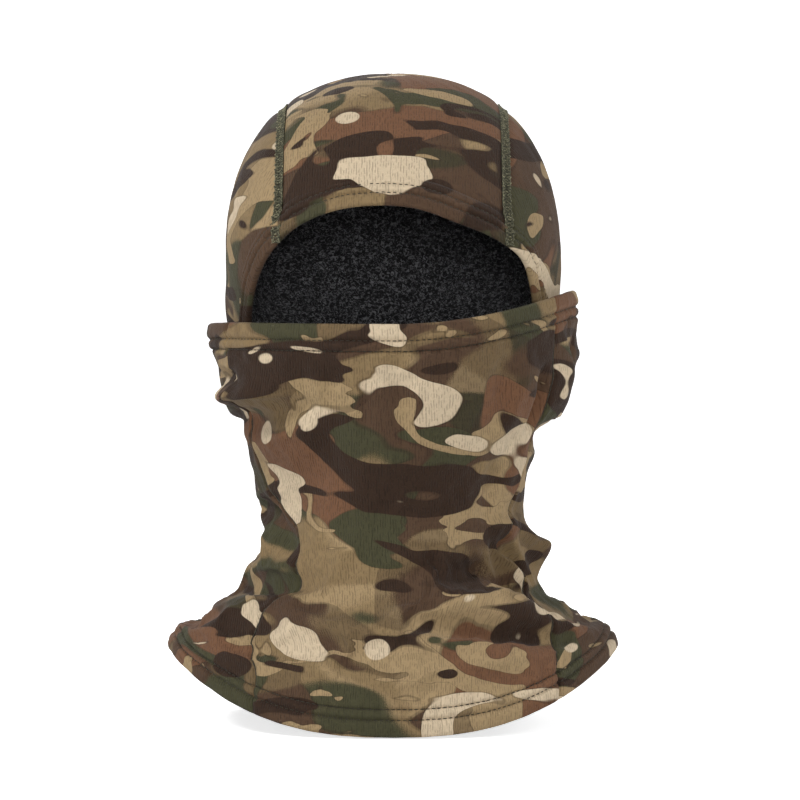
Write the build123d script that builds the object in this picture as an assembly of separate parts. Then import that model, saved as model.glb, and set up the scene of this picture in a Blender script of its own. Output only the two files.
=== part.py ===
"""Fleece-lined camouflage face mask: a hood, a pull-down mask ring and a flared neck collar.

Row frame, millimetres: +X is the wearer's left, -Y the way the wearer faces, +Z up. The origin
is on the neck's axis, level with the lowest point of the collar's hem.

The hood's dome is a surface of revolution about the ear-to-ear line, so that it slides over
itself when it is pushed back. The outer tube, from the mask's top band down to the collar's hem,
is lofted through superellipse sections. Each cloth panel is two layers: a camouflage face
fabric, and a black fleece lining inside it.
"""

import math
import os

from build123d import *

# Overall sizes
EAR_Z = 251.0                # height of the ear-to-ear line above the hem
HOOD_RADIUS = 102.0          # dome radius about the ear-to-ear line
HOOD_HALF_WIDTH = 92.4
HOOD_EXPONENT = 2.3          # squareness of the dome's profile
DOME_FOOT_Z = 212.0          # the stiff dome stops here, behind the mask's top band
WAIST_Z = 118.0              # the neck, where hood, mask and collar are sewn together

# Cloth layers
FACE_T = 1.2                 # camouflage face fabric
LINING_T = 1.8               # fleece
BOND = 0.1                   # glue line between the two
CLOTH_T = FACE_T + BOND + LINING_T
HEM_T = 2 * CLOTH_T          # a hem is the cloth turned back on itself
THREAD_T = 0.6               # thread standing proud of the cloth
SEW_GAP = 0.1                # clearance between sewn neighbours

# Hood seams and face opening
CROWN_HALF_WIDTH = 60.0
FLATLOCK_WIDTH = 5.0
OPENING_Z = 205.0            # height where the face opening is widest
OPENING_HALF_WIDTH = 76.0
OPENING_RISE = 69.5          # from there up to the brow
OPENING_DROP = 75.0          # and down to the throat
OPENING_EXPONENT = 2.5
HOOD_HEM = 12.0              # depth of the turned edge round the face opening
HOOD_STITCH_ROWS = (6.8, 11.6)

# Mask band and collar hem
BAND_FRONT_Z = 213.0         # top edge of the mask over the nose
BAND_RISE_LEFT = 20.8        # how much higher the edge sits at the wearer's left side
BAND_RISE_RIGHT = 2.6
BAND_HEM = 15.0
BAND_HALF_WIDTH = 99.0
HEM_SIDE_RISE = 40.0         # the collar's hem climbs this much over each shoulder
HEM_HALF_WIDTH = 124.0
HEM_EXPONENT = 2.6
STITCH_ROWS = (8.8, 14.4)    # twin-needle rows, measured from a folded edge
STITCH_WIDTH = 0.8
SEAM_AZIMUTH = 48.0          # degrees from straight ahead to each side seam
SEAM_WIDTH = 1.6

# The outer tube: height, half width, half depth, centre in Y, superellipse exponent
TUBE = (
    (262.0, 97.0, 109.5, 1.5, 2.4),
    (236.0, 99.0, 109.5, 1.5, 2.4),
    (205.0, 100.5, 110.0, 0.5, 2.4),
    (178.0, 95.0, 103.5, -0.5, 2.4),
    (152.0, 78.5, 91.0, 1.0, 2.3),
    (134.0, 73.5, 83.0, 3.0, 2.2),
    (112.0, 71.5, 77.5, 4.5, 2.2),
    (92.0, 75.5, 79.0, 5.0, 2.1),
    (76.0, 83.0, 83.5, 5.0, 2.0),
    (62.0, 101.0, 89.0, 5.0, 2.0),
    (48.0, 119.0, 93.5, 5.0, 2.0),
    (34.0, 125.0, 97.0, 4.5, 2.0),
    (-6.0, 128.0, 105.0, 4.0, 2.0),
)

# The lower hood, which hangs inside the tube from the dome to the neck
SKIRT = (
    (DOME_FOOT_Z - SEW_GAP, 88.0, 94.0, 0.0, 2.3),
    (184.0, 85.0, 90.0, 0.0, 2.3),
    (154.0, 73.5, 83.0, 1.5, 2.3),
    (134.0, 69.0, 77.5, 3.5, 2.2),
    (WAIST_Z, 66.5, 72.5, 4.5, 2.2),
)

REACH = 160.0                # past the object on every side, for cutting bodies
SECTION_POINTS = 28


def superellipse(a, b, exponent, b_below=None, count=SECTION_POINTS):
    """Points at even azimuths round a superellipse on the origin, with half sizes a and b.
    b_below is the half size of its lower half, if that differs."""
    points = []
    for i in range(count):
        t = 2 * math.pi * i / count
        c, s = math.cos(t), math.sin(t)
        half = b_below if b_below and s < 0 else b
        reach = (abs(c / a) ** exponent + abs(s / half) ** exponent) ** (-1 / exponent)
        points.append((reach * c, reach * s))
    return points


def closed_face(points, plane):
    """A face on plane inside a smooth closed curve through the points."""
    return plane * make_face(Spline(*points, periodic=True))


def slope(rows, index, column):
    """How fast a size changes with height at one row of a section table."""
    low, high = max(index - 1, 0), min(index + 1, len(rows) - 1)
    return (rows[high][column] - rows[low][column]) / (rows[high][0] - rows[low][0])


def lofted(rows, depth):
    """The solid inside a section table's surface, sunk by depth square to the cloth."""
    faces = []
    for i, (z, a, b, centre, exponent) in enumerate(rows):
        a -= depth * math.hypot(1.0, slope(rows, i, 1))
        b -= depth * math.hypot(1.0, slope(rows, i, 2))
        outline = [(x, y + centre) for x, y in superellipse(a, b, exponent)]
        faces.append(closed_face(outline, Plane((0, 0, z))))
    return loft(faces)


def tube(depth):
    return lofted(TUBE, depth)


def skirt(depth):
    return lofted(SKIRT, depth)


def dome(depth):
    """The solid inside the hood's dome, sunk by depth: a profile turned about the ear line."""
    around = superellipse(HOOD_HALF_WIDTH - depth, HOOD_RADIUS - depth, HOOD_EXPONENT, count=48)
    profile = around[:len(around) // 2 + 1]
    edge = Spline(*profile, tangents=[(0, 1), (0, -1)])
    face = make_face(edge + Line(profile[-1], profile[0]))
    turned = revolve(Plane.XZ * face, axis=Axis((0, 0, 0), (1, 0, 0)))
    return Pos(0, 0, EAR_Z) * turned


def slab(x0, x1, y0, y1, z0, z1):
    """A box between two corners."""
    size = (x1 - x0, y1 - y0, z1 - z0)
    middle = ((x0 + x1) / 2, (y0 + y1) / 2, (z0 + z1) / 2)
    return Pos(*middle) * Box(*size)


def opening(margin):
    """A prism through the front of the hood, wider than the face opening by margin."""
    outline = superellipse(
        OPENING_HALF_WIDTH + margin, OPENING_RISE + margin, OPENING_EXPONENT,
        b_below=OPENING_DROP + margin,
    )
    face = closed_face(outline, Plane((0, 0, OPENING_Z), x_dir=(1, 0, 0), z_dir=(0, -1, 0)))
    return extrude(face, REACH)


def band_edge(x):
    """Height of the mask's top edge."""
    rise = BAND_RISE_LEFT if x > 0 else BAND_RISE_RIGHT
    return BAND_FRONT_Z + rise * (x / BAND_HALF_WIDTH) ** 2


def hem_edge(x):
    """Height of the collar's lower edge."""
    return HEM_SIDE_RISE * abs(x / HEM_HALF_WIDTH) ** HEM_EXPONENT


def above(edge, shift):
    """The space above a height curve that runs across the object, moved up by shift."""
    steps = 10
    points = [(x, edge(x) + shift) for x in (REACH * (i / steps - 1) for i in range(2 * steps + 1))]
    top = 2 * EAR_Z
    outline = Spline(*points) + Polyline(points[-1], (REACH, top), (-REACH, top), points[0])
    return extrude(Plane.XZ * make_face(outline), REACH, both=True)


def wedge(azimuth_0, azimuth_1):
    """The space between two upright planes through the neck's axis; azimuth 0 is ahead."""
    far = 3 * REACH
    steps = [azimuth_0 + (azimuth_1 - azimuth_0) * i / 4 for i in range(5)]
    corners = [
        (far * math.sin(math.radians(a)), -far * math.cos(math.radians(a))) for a in steps
    ]
    face = make_face(Polyline((0, 0), *corners, (0, 0)))
    return extrude(Plane((0, 0, -REACH)) * face, 4 * REACH)


def seam_blade(azimuth, width):
    """A thin upright half plane from the neck's axis out to one side seam."""
    blade = Box(width, 2 * REACH, 4 * REACH, align=(Align.CENTER, Align.MAX, Align.CENTER))
    return Rot(0, 0, azimuth) * blade


def shell(body, outer, inner):
    """The layer of cloth between two depths of a body function."""
    return body(outer) - body(inner)


def keep(shape):
    """The solids of a shape as one compound, without slivers left by cutting."""
    smallest = 1.0
    solids = [s for s in shape.solids() if s.volume > smallest]
    return solids[0] if len(solids) == 1 else Compound(children=solids)


def hood_parts():
    """The dome that is pushed back: crown, sides, linings, turned edge and seams."""
    foot = slab(-REACH, REACH, -REACH, REACH, DOME_FOOT_Z, 2 * EAR_Z)
    face_layer = shell(dome, 0, FACE_T) & foot
    lining_layer = shell(dome, FACE_T + BOND, CLOTH_T) & foot
    hem_layer = shell(dome, 0, HEM_T) & foot
    thread_layer = shell(dome, -THREAD_T, 0) & foot
    behind_hem = opening(HOOD_HEM + SEW_GAP)
    hem_ring = opening(HOOD_HEM) - opening(0)
    edge = CROWN_HALF_WIDTH
    sectors = {
        "crown": slab(-edge, edge, -REACH, REACH, 0, 2 * EAR_Z),
        "left": slab(edge + SEW_GAP, REACH, -REACH, REACH, 0, 2 * EAR_Z),
        "right": slab(-REACH, -edge - SEW_GAP, -REACH, REACH, 0, 2 * EAR_Z),
    }
    names = {
        "crown": ("crown_panel", "crown_lining", "brow_hem"),
        "left": ("left_side_panel", "left_side_lining", "left_cheek_hem"),
        "right": ("right_side_panel", "right_side_lining", "right_cheek_hem"),
    }
    parts = {}
    for side, sector in sectors.items():
        panel, lining, hem = names[side]
        parts[panel] = (face_layer & sector) - behind_hem
        parts[lining] = (lining_layer & sector) - behind_hem
        parts[hem] = hem_layer & sector & hem_ring
    for name, sign in (("left_crown_seam", 1), ("right_crown_seam", -1)):
        near = sign * (edge - FLATLOCK_WIDTH / 2)
        far = sign * (edge + FLATLOCK_WIDTH / 2)
        strip = slab(min(near, far), max(near, far), -REACH, REACH, 0, 2 * EAR_Z)
        parts[name] = (thread_layer & strip) - opening(0)
    seams = slab(-edge + FLATLOCK_WIDTH, edge - FLATLOCK_WIDTH, -REACH, REACH, 0, 2 * EAR_Z)
    rows = [
        thread_layer & (opening(row + STITCH_WIDTH / 2) - opening(row - STITCH_WIDTH / 2)) & seams
        for row in HOOD_STITCH_ROWS
    ]
    parts["brow_hem_stitching"] = rows[0] + rows[1]
    return parts


def skirt_parts():
    """The soft lower hood between the dome and the neck seam, and its turned front edge."""
    behind_hem = opening(HOOD_HEM + SEW_GAP)
    hem_ring = opening(HOOD_HEM) - opening(0)
    return {
        "hood_neck_panel": shell(skirt, 0, FACE_T) - behind_hem,
        "hood_neck_lining": shell(skirt, FACE_T + BOND, CLOTH_T) - behind_hem,
        "throat_hem": shell(skirt, 0, HEM_T) & hem_ring,
    }


def tube_parts():
    """The outer tube: mask above the neck, collar below it, their linings, hems and seams."""
    below_band = slab(-REACH, REACH, -REACH, REACH, -REACH, 2 * EAR_Z) - above(
        band_edge, -BAND_HEM - SEW_GAP
    )
    above_hem = above(hem_edge, BAND_HEM + SEW_GAP)
    upper = slab(-REACH, REACH, -REACH, REACH, WAIST_Z + SEW_GAP, 2 * EAR_Z) & below_band
    lower = slab(-REACH, REACH, -REACH, REACH, -REACH, WAIST_Z) & above_hem
    gap = math.degrees(SEW_GAP / HEM_HALF_WIDTH)
    sectors = {
        "front": wedge(-SEAM_AZIMUTH + gap, SEAM_AZIMUTH - gap),
        "left": wedge(SEAM_AZIMUTH + gap, 180 - gap),
        "right": wedge(180 + gap, 360 - SEAM_AZIMUTH - gap),
    }
    names = {
        "front": ("mask_panel", "mask_lining", "bib_panel", "bib_lining"),
        "left": (
            "left_cheek_panel", "left_cheek_lining", "left_shoulder_panel", "left_shoulder_lining",
        ),
        "right": (
            "right_cheek_panel", "right_cheek_lining",
            "right_shoulder_panel", "right_shoulder_lining",
        ),
    }
    face_layer = shell(tube, 0, FACE_T)
    lining_layer = shell(tube, FACE_T + BOND, CLOTH_T)
    thread_layer = shell(tube, -THREAD_T, 0)
    parts = {}
    for side, sector in sectors.items():
        panel, lining, low_panel, low_lining = names[side]
        parts[panel] = face_layer & sector & upper
        parts[lining] = lining_layer & sector & upper
        parts[low_panel] = face_layer & sector & lower
        parts[low_lining] = lining_layer & sector & lower
    for name, azimuth in (("left", SEAM_AZIMUTH), ("right", -SEAM_AZIMUTH), ("nape", 180)):
        blade = seam_blade(azimuth, SEAM_WIDTH)
        parts[f"{name}_mask_seam"] = thread_layer & blade & upper
        parts[f"{name}_collar_seam"] = thread_layer & blade & lower
    hem_layer = shell(tube, 0, HEM_T)
    parts["mask_band"] = (hem_layer & above(band_edge, -BAND_HEM)) - above(band_edge, 0)
    parts["collar_hem"] = (hem_layer & above(hem_edge, 0)) - above(hem_edge, BAND_HEM)
    for name, edge, side in (
        ("mask_band_stitching", band_edge, -1), ("collar_hem_stitching", hem_edge, 1),
    ):
        rows = [
            above(edge, side * row - STITCH_WIDTH / 2) - above(edge, side * row + STITCH_WIDTH / 2)
            for row in STITCH_ROWS
        ]
        arcs = [thread_layer & (row & sector) for row in rows for sector in sectors.values()]
        parts[name] = Compound(children=[solid for arc in arcs for solid in arc.solids()])
    return parts


def neck_parts():
    """The seam allowance that joins the lower hood to the tube's lining at the neck."""
    height = 3.0
    ring = slab(-REACH, REACH, -REACH, REACH, WAIST_Z - height - SEW_GAP, WAIST_Z - SEW_GAP)
    return {"neck_seam": (tube(CLOTH_T + SEW_GAP) - tube(2 * CLOTH_T)) & ring}


def main():
    os.makedirs("parts", exist_ok=True)
    for parts in (hood_parts(), skirt_parts(), tube_parts(), neck_parts()):
        for name, shape in parts.items():
            export_step(keep(shape), f"parts/{name}.step")


main()
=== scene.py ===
"""Looks for the fleece-lined camouflage face mask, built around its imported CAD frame.

The outer tube (mask, neck and collar) is one grid of cloth, folded and then settled by a cloth
simulation. Its hems, panels, seams and stitches are all laid on that settled grid. The hood is
laid on the CAD dome in the same way. Tables and shape functions work in millimetres in the row
frame; meshes are made in metres.
"""

import math

import bmesh
import bpy
import numpy as np
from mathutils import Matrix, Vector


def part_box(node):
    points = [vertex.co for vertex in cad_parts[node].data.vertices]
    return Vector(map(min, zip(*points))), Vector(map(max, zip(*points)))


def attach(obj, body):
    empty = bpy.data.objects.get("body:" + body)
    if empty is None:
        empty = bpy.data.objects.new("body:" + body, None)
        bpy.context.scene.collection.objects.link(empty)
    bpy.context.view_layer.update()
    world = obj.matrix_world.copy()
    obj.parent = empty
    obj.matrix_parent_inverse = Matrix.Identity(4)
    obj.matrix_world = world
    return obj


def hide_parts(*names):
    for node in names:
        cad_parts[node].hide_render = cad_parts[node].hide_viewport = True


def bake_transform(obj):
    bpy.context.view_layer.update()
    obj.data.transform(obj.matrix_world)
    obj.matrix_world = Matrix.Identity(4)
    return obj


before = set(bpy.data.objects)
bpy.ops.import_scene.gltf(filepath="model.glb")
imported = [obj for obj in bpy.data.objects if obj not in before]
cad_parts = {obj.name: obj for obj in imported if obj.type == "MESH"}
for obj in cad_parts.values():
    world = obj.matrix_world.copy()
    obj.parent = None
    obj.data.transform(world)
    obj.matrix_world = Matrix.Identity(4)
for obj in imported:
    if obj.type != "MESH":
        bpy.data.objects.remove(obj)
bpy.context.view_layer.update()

MM = 0.001
TINY = 1e-9

# ---------------------------------------------------------------- sizes, in mm
EAR_Z = 251.0
HOOD_RADIUS = 102.0
HOOD_HALF_WIDTH = 92.4
HOOD_EXPONENT = 2.3
CROWN_HALF_WIDTH = 60.0
NECK_Z = 118.0

OPENING_Z = 205.0
OPENING_HALF_WIDTH = 76.0
OPENING_RISE = 69.5
OPENING_DROP = 75.0
OPENING_EXPONENT = 2.5
# The brow droops over the wearer's left eye: degrees round from the top, width, depth
OPENING_DROOP = ((31.0, 19.0, 5.3), (58.0, 8.0, -1.9))

BAND_FRONT_Z = 213.0
BAND_RISE_LEFT = 20.8
BAND_RISE_RIGHT = 2.6
BAND_HALF_WIDTH = 99.0
HEM_SIDE_RISE = 40.0
HEM_HALF_WIDTH = 124.0
HEM_EXPONENT = 2.6

TUBE_ROWS = (8.8, 14.4)      # stitch rows, measured along the cloth from a folded edge
TUBE_ROLL = 2.0              # radius of the folded edge
HOOD_ROWS = (6.9, 12.0)
HOOD_ROLL = 1.9
# Section of a turned hem: heights at both rows and at two distances past the second, the puff of
# its two channels, and how deep each row is drawn in
TUBE_HEM = dict(rows=TUBE_ROWS, roll=TUBE_ROLL, past=(5, 14), heights=(1.84, 1.4, 0.4, 0.0),
                puffs=(0.55, 0.45), sunk=(1.25, 1.15))
HOOD_HEM = dict(rows=HOOD_ROWS, roll=HOOD_ROLL, past=(1.5, 5), heights=(1.7, 1.2, 0.7, -0.9),
                puffs=(0.5, 0.4), sunk=(1.0, 0.95))
STITCH_SUNK = 0.9            # half width of the groove a stitch row draws in
HEM_WIDTH_AT_PANEL = 5.0     # how far a hem's gathers run into the panel
INNER_FLAP = 1.5             # the flap behind a hem ends this far past its second stitch row
CLOTH_THICKNESS = 0.7
PANEL_SPACING = 1.6          # between columns of vertices
LINING_SPACING = 2.0
LINING_DEPTH = 2.4           # from the face of the cloth to the fleece behind it
LINING_PILE = 0.9

# Outer tube: height, half width, half depth, centre in Y, superellipse exponent
TUBE = (
    (262.0, 97.0, 109.5, 1.5, 2.4),
    (236.0, 99.0, 109.5, 1.5, 2.4),
    (205.0, 100.5, 110.0, 0.5, 2.4),
    (178.0, 95.0, 103.5, -0.5, 2.4),
    (152.0, 78.5, 91.0, 1.0, 2.3),
    (134.0, 73.5, 83.0, 3.0, 2.2),
    (112.0, 71.5, 77.5, 4.5, 2.2),
    (92.0, 75.5, 79.0, 5.0, 2.1),
    (76.0, 83.0, 83.5, 5.0, 2.0),
    (62.0, 101.0, 89.0, 5.0, 2.0),
    (48.0, 119.0, 93.5, 5.0, 2.0),
    (34.0, 125.0, 97.0, 4.5, 2.0),
    (-6.0, 128.0, 105.0, 4.0, 2.0),
)
# Hood below the ear line, in the same columns
HOOD = (
    (EAR_Z, HOOD_HALF_WIDTH, HOOD_RADIUS, 0.0, HOOD_EXPONENT),
    (212.0, 88.0, 94.2, 0.0, 2.3),
    (184.0, 85.0, 90.0, 0.0, 2.3),
    (154.0, 73.5, 83.0, 1.5, 2.3),
    (134.0, 69.0, 77.5, 3.5, 2.2),
    (NECK_Z, 66.5, 72.5, 4.5, 2.2),
)
# Side seams of the tube: height, degrees from straight ahead to the wearer's right and left seam
SEAMS = (
    (225.0, 52.0, 52.0),
    (176.0, 57.0, 54.0),
    (141.0, 64.0, 60.0),
    (104.0, 44.0, 52.0),
    (80.0, 40.0, 58.0),
    (60.0, 48.0, 55.0),
    (30.0, 42.0, 51.0),
    (0.0, 41.0, 50.0),
)
RIGHT_SEAM_U = 0.36          # where the seams fall round the grid, from centre back to centre back
LEFT_SEAM_U = 0.64

# Folds: from (azimuth, height) to (azimuth, height), width, height off the cloth
FOLDS = (
    (-76, 177, -34, 176, 7, 5.0),
    (-80, 165, -20, 169, 5, -6.0),
    (-62, 160, -44, 162, 4, -3.0),
    (-74, 186, -48, 184, 4, -3.4),
    (-110, 172, -88, 170, 9, 1.0),
    (-120, 156, -72, 158, 7, -4.0),
    (49, 190, 52, 160, 4.5, -6.5),
    (60, 198, 66, 172, 11, 4.0),
    (40, 200, 40, 172, 7, 1.8),
    (60, 160, 112, 156, 6, -5.5),
    (74, 176, 112, 174, 9, 1.5),
    (46, 164, 38, 112, 10, -2.4),
    (-88, 118, -58, 118, 5, -4.0),
    (-64, 118, -40, 92, 7, -3.0),
    (-70, 105, -56, 99, 7, 3.0),
    (-80, 78, -30, 80, 6, -3.0),
    (-60, 88, -36, 90, 8, 2.0),
    (48, 102, 68, 84, 4.5, -6.5),
    (44, 110, 62, 112, 6, 3.0),
    (66, 110, 92, 90, 7, 5.5),
    (42, 104, 54, 68, 5, -3.5),
    (50, 98, 62, 75, 4, 3.0),
    (42, 92, 20, 86, 5, -2.6),
    (34, 80, 60, 68, 8, 2.6),
    (12, 78, 60, 60, 9, 5.0),
    (8, 60, 56, 50, 6, -4.5),
    (30, 92, 52, 76, 4, -3.0),
    (-40, 64, -10, 56, 9, 2.0),
    (-20, 90, 14, 96, 9, 1.4),
    (120, 110, 176, 98, 7, -3.5),
    (130, 96, 178, 84, 8, 3.5),
    (-176, 112, -126, 100, 7, -3.5),
    (-178, 92, -120, 84, 8, 3.5),
    (100, 132, 160, 122, 7, 2.6),
    (-165, 126, -108, 130, 7, 2.6),
    (-150, 160, -110, 150, 8, -2.4),
    (120, 150, 170, 162, 8, -2.4),
    (150, 70, 178, 62, 7, -3.0),
    (-175, 66, -140, 60, 7, -3.0),
)
# Broad bulges, in the same terms
BULGES = (
    (84, 204, 84, 196, 15, 3.0),
    (-64, 184, -118, 180, 17, -5.5),
    (80, 104, 92, 86, 12, 8.0),
    (-68, 101, -98, 99, 9, -8.0),
    (92, 66, 92, 60, 10, -4.5),
    (-90, 66, -90, 60, 10, -4.0),
    (-20, 60, 30, 60, 22, 3.0),
)


# ---------------------------------------------------------------- shape functions
def smooth_table(rows):
    """height -> every other column of a table, through a monotone cubic."""
    rows = np.array(sorted(rows))
    z, v = rows[:, 0], rows[:, 1:]
    gap = np.diff(z)[:, None]
    step = np.diff(v, axis=0) / gap
    slope = np.zeros_like(v)
    product = step[:-1] * step[1:]
    total = step[:-1] + step[1:]
    slope[1:-1] = np.where(product > 0, 2 * product / np.where(total == 0, 1, total), 0)
    slope[0] = step[0]

    def at(height):
        height = np.clip(height, z[0], z[-1])
        i = np.clip(np.searchsorted(z, height, side="right") - 1, 0, len(z) - 2)
        t = ((height - z[i]) / gap[i, 0])[..., None]
        a, b = v[i], v[i + 1]
        m0, m1 = slope[i] * gap[i], slope[i + 1] * gap[i]
        t2, t3 = t * t, t * t * t
        value = a * (2 * t3 - 3 * t2 + 1) + m0 * (t3 - 2 * t2 + t) + b * (3 * t2 - 2 * t3)
        return np.moveaxis(value + m1 * (t3 - t2), -1, 0)

    return at


tube_section = smooth_table(TUBE)
hood_section = smooth_table(HOOD)
seam_azimuths = smooth_table(SEAMS)


def reach(across, ahead, a, b, exponent):
    """Distance to a superellipse in the direction (across, ahead)."""
    return (np.abs(across / a) ** exponent + np.abs(ahead / b) ** exponent + TINY) ** (-1 / exponent)


def around(azimuth, a, b, centre, exponent):
    """Point on a level section in the direction of an azimuth from straight ahead."""
    s, c = np.sin(azimuth), np.cos(azimuth)
    r = reach(s, c, a, b, exponent)
    return r * s, centre - r * c


def band_edge(x):
    rise = np.where(x > 0, BAND_RISE_LEFT, BAND_RISE_RIGHT)
    return BAND_FRONT_Z + rise * (x / BAND_HALF_WIDTH) ** 2


def hem_edge(x):
    return HEM_SIDE_RISE * np.abs(x / HEM_HALF_WIDTH) ** HEM_EXPONENT


def unit(v):
    return v / (np.linalg.norm(v, axis=-1, keepdims=True) + TINY)


def arc_length(line):
    """Distance along a line of points, from its first one."""
    return np.concatenate([[0], np.cumsum(np.linalg.norm(np.diff(line, axis=0), axis=-1))])


def between(table, row, column):
    """Value of a table at a fractional row and column; the first row follows the last."""
    rows, columns = table.shape
    i = np.minimum(np.floor(row).astype(int), rows - 1)
    j = np.minimum(np.floor(column).astype(int), columns - 2)
    down, across = row - i, column - j
    k = (i + 1) % rows
    first = table[i, j] * (1 - across) + table[i, j + 1] * across
    second = table[k, j] * (1 - across) + table[k, j + 1] * across
    return first * (1 - down) + second * down


def waves(u, v, seed, low, high, count=9, lean=1.0):
    """Smooth noise of about unit height: sines with whole numbers of waves round the cloth."""
    rng = np.random.default_rng(seed)
    total = np.zeros(np.broadcast(u, v).shape)
    for _ in range(count):
        k = rng.integers(low, high + 1) * rng.choice((-1, 1))
        m = rng.uniform(-lean, lean) * high / 3
        total += np.sin(2 * math.pi * (k * u + m * v) + rng.uniform(0, 2 * math.pi))
    return total / math.sqrt(count)


# ---------------------------------------------------------------- the tube's cloth grid
SIM_COLUMNS = 180            # the simulated cloth
SIM_ROWS = 66
COLUMNS = 450                # the finer grid that everything is laid on
ROWS = 166
MM_PER_DEGREE = 1.6
PINNED_ROWS = 5
KNIT_CLOTH = dict(quality=6, mass=0.25, tension_stiffness=20, compression_stiffness=20,
                  shear_stiffness=8, bending_stiffness=1.5, air_damping=4)
FOLD_SCALE = 1.4             # all the folds, deeper together
CREASE_SHARE = 0.6           # of each valley's depth again, as a sharp crease


def tube_azimuth(u, z):
    """Azimuth of a column at a height, in radians, with the seams where the table puts them."""
    right, left = np.radians(seam_azimuths(z))
    front = -right + (left + right) * (u - RIGHT_SEAM_U) / (LEFT_SEAM_U - RIGHT_SEAM_U)
    at_right = -math.pi + (math.pi - right) * u / RIGHT_SEAM_U
    at_left = left + (math.pi - left) * (u - LEFT_SEAM_U) / (1 - LEFT_SEAM_U)
    return np.where(u < RIGHT_SEAM_U, at_right, np.where(u < LEFT_SEAM_U, front, at_left))


def tube_base(u, v, swell=0.0):
    """Points on the unfolded tube; v runs from the collar's hem to the mask's top edge."""
    u, v = np.broadcast_arrays(u, v)
    z = 30 + 190 * v
    for _ in range(14):
        a, b, centre, exponent = tube_section(z)
        azimuth = tube_azimuth(u, z)
        x, y = around(azimuth, a + swell, b + swell, centre, exponent)
        low, high = hem_edge(x), band_edge(x)
        z = 0.5 * z + 0.5 * (low + v * (high - low))
    return np.stack([x, y, z], -1), azimuth


def folds(azimuth, z, table):
    """How far a table's folds stand off the unfolded tube."""
    s = np.degrees(azimuth) * MM_PER_DEGREE
    total = np.zeros_like(z)
    for az0, z0, az1, z1, width, height in table:
        start = np.array([az0 * MM_PER_DEGREE, z0])
        span = np.array([az1 * MM_PER_DEGREE, z1]) - start
        length = float(np.linalg.norm(span))
        along = ((s - start[0]) * span[0] + (z - start[1]) * span[1]) / length
        t = np.clip(along / length, 0, 1)
        off = np.hypot(s - start[0] - t * span[0], z - start[1] - t * span[1])
        middle = np.exp(-((2 * t - 1) ** 4) * 1.2)
        total += height * middle * np.exp(-((off / width) ** 2))
    return total


def creases(azimuth, z):
    """Sharp lines along the bottoms of the valleys."""
    s = np.degrees(azimuth) * MM_PER_DEGREE
    total = np.zeros_like(z)
    for az0, z0, az1, z1, width, height in FOLDS:
        if height > 0:
            continue
        start = np.array([az0 * MM_PER_DEGREE, z0])
        span = np.array([az1 * MM_PER_DEGREE, z1]) - start
        length = float(np.linalg.norm(span))
        side = np.array([-span[1], span[0]]) / length
        t = np.clip(((s - start[0]) * span[0] + (z - start[1]) * span[1]) / length ** 2, 0, 1)
        bow = 0.06 * length * np.sin(math.pi * t)
        off_s = s - start[0] - t * span[0] - bow * side[0]
        off_z = z - start[1] - t * span[1] - bow * side[1]
        off = np.hypot(off_s, off_z)
        middle = np.sin(math.pi * np.clip(t, 0.02, 0.98)) ** 0.7
        total += CREASE_SHARE * height * middle * np.exp(-(off / (0.55 * width)) ** 1.3)
    return total


def grid_normals(points):
    """Unit normals of a grid that wraps round its first axis, pointing outwards."""
    du = np.roll(points, -1, 0) - np.roll(points, 1, 0)
    dv = np.gradient(points, axis=1)
    return unit(np.cross(du, dv))


def new_mesh(name, points, faces):
    mesh = bpy.data.meshes.new(name)
    mesh.from_pydata([tuple(p) for p in np.asarray(points).reshape(-1, 3) * MM], [], faces)
    mesh.update()
    return mesh


def grid_faces(rows, columns, wrap=False):
    """Quads of a rows x columns grid of vertices."""
    i, j = np.meshgrid(np.arange(rows - 1), np.arange(columns - (0 if wrap else 1)), indexing="ij")
    k = (j + 1) % columns
    quads = np.stack([i * columns + j, i * columns + k, (i + 1) * columns + k, (i + 1) * columns + j], -1)
    return quads.reshape(-1, 4)


def link(name, mesh):
    obj = bpy.data.objects.new(name, mesh)
    bpy.context.scene.collection.objects.link(obj)
    return obj


def settle(points, form, frames=18, slack=0.025, cap=5.0):
    """The cloth grid after a short simulation with its two hems held and a stiff form inside."""
    rows = points.transpose(1, 0, 2)
    columns, count = points.shape[:2]
    faces = grid_faces(count, columns, wrap=True).tolist()
    cloth = link("sim_cloth", new_mesh("sim_cloth", rows, faces))
    body = link("sim_form", new_mesh("sim_form", form.transpose(1, 0, 2), faces))
    pins = cloth.vertex_groups.new(name="pins")
    for row in range(PINNED_ROWS):
        weight = 1.0 - 0.5 * row / PINNED_ROWS
        for which in (row, count - 1 - row):
            pins.add(list(range(which * columns, (which + 1) * columns)), weight, "REPLACE")
    body.modifiers.new("Collision", "COLLISION")
    body.collision.thickness_outer = 0.001
    modifier = cloth.modifiers.new("Cloth", "CLOTH")
    for key, value in KNIT_CLOTH.items():
        setattr(modifier.settings, key, value)
    modifier.settings.effector_weights.gravity = 0.06
    modifier.settings.vertex_group_mass = "pins"
    modifier.settings.shrink_min = -slack
    modifier.collision_settings.use_collision = True
    modifier.collision_settings.distance_min = 0.001
    modifier.point_cache.frame_start = 1
    modifier.point_cache.frame_end = frames
    scene = bpy.context.scene
    for f in range(1, frames + 1):
        scene.frame_set(f)
    graph = bpy.context.evaluated_depsgraph_get()
    result = cloth.evaluated_get(graph).to_mesh()
    flat = np.empty(len(result.vertices) * 3)
    result.vertices.foreach_get("co", flat)
    settled = flat.reshape(count, columns, 3).transpose(1, 0, 2) / MM
    scene.frame_set(1)
    bpy.data.objects.remove(cloth)
    bpy.data.objects.remove(body)
    moved = settled - points
    far = np.linalg.norm(moved, axis=-1, keepdims=True)
    held = hems_held(np.linspace(0, 1, count))[:, None]
    return points + moved * np.minimum(1, cap / (far + TINY)) * held


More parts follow.
